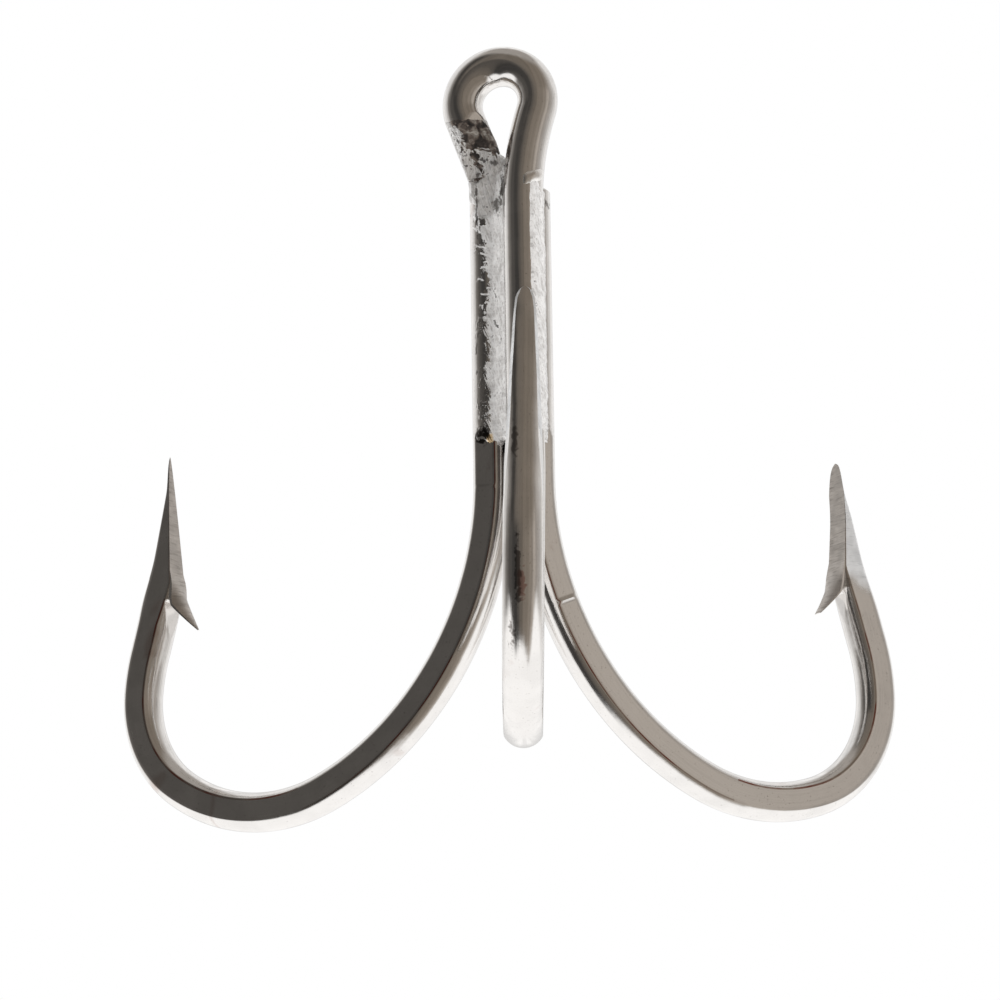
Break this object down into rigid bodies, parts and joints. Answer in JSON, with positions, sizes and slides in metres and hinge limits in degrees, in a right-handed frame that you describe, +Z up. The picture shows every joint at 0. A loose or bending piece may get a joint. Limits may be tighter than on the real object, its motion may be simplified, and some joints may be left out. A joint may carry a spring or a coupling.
{
  "type": "treble hook",
  "caption": "Large brazed treble hook: forged wire hooks with ground barbed points around one shank, the front wire closing into the eye.",
  "frame": {"origin": "centre of the eye, on the centre line of its wire", "axes": "+Z up along the shank from the bends to the eye, -Y towards the front prong that carries the eye, +X towards the right prong"},
  "size_m": [0.0931, 0.0825, 0.09],
  "materials": {
    "bright_wire": "bright tinned high-carbon steel wire, nearly mirror smooth, fine scratches on the forged flats",
    "braze": "tinned brazing alloy, satin and lumpy, with pits and dark flux left at its ends"
  },
  "bodies": {
    "root": {"front_hook": "bright_wire", "left_hook": "bright_wire", "right_hook": "bright_wire", "braze_front": "braze", "braze_right": "braze", "braze_rear": "braze", "braze_eye": "braze"}
  },
  "joints": []
}
